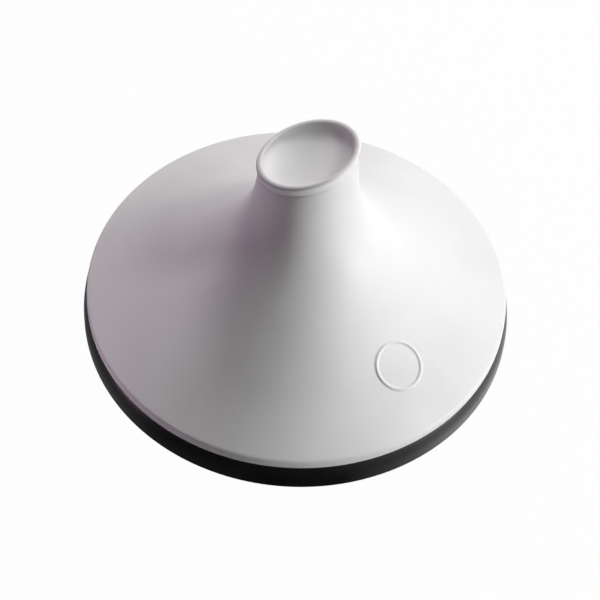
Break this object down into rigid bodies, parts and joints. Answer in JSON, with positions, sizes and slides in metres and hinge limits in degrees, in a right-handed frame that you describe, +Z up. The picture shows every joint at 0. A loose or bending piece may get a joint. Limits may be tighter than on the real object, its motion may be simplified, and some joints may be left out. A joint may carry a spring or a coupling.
{
  "type": "tagine",
  "caption": "Round glazed stoneware tagine: a shallow dark dish and a tall flared white lid that lifts off by a slanted knob with a cupped top.",
  "frame": {"origin": "on the table, under the middle of the dish", "axes": "+Z up along the dish's axis, -Y towards the viewer of the picture, +X to the picture's right, where the knob's high side faces"},
  "size_m": [0.33, 0.33, 0.2363],
  "materials": {
    "dish_glaze": "charcoal satin glaze, bare clay on the foot ring",
    "lid_glaze": "white satin glaze"
  },
  "bodies": {
    "dish": {"dish": "dish_glaze"},
    "lid": {"lid": "lid_glaze"}
  },
  "joints": [
    {"name": "lid_lift", "type": "slide", "parent": "dish", "child": "lid", "axis": [0, 0, 1], "range_m": [0, 0.15]}
  ]
}
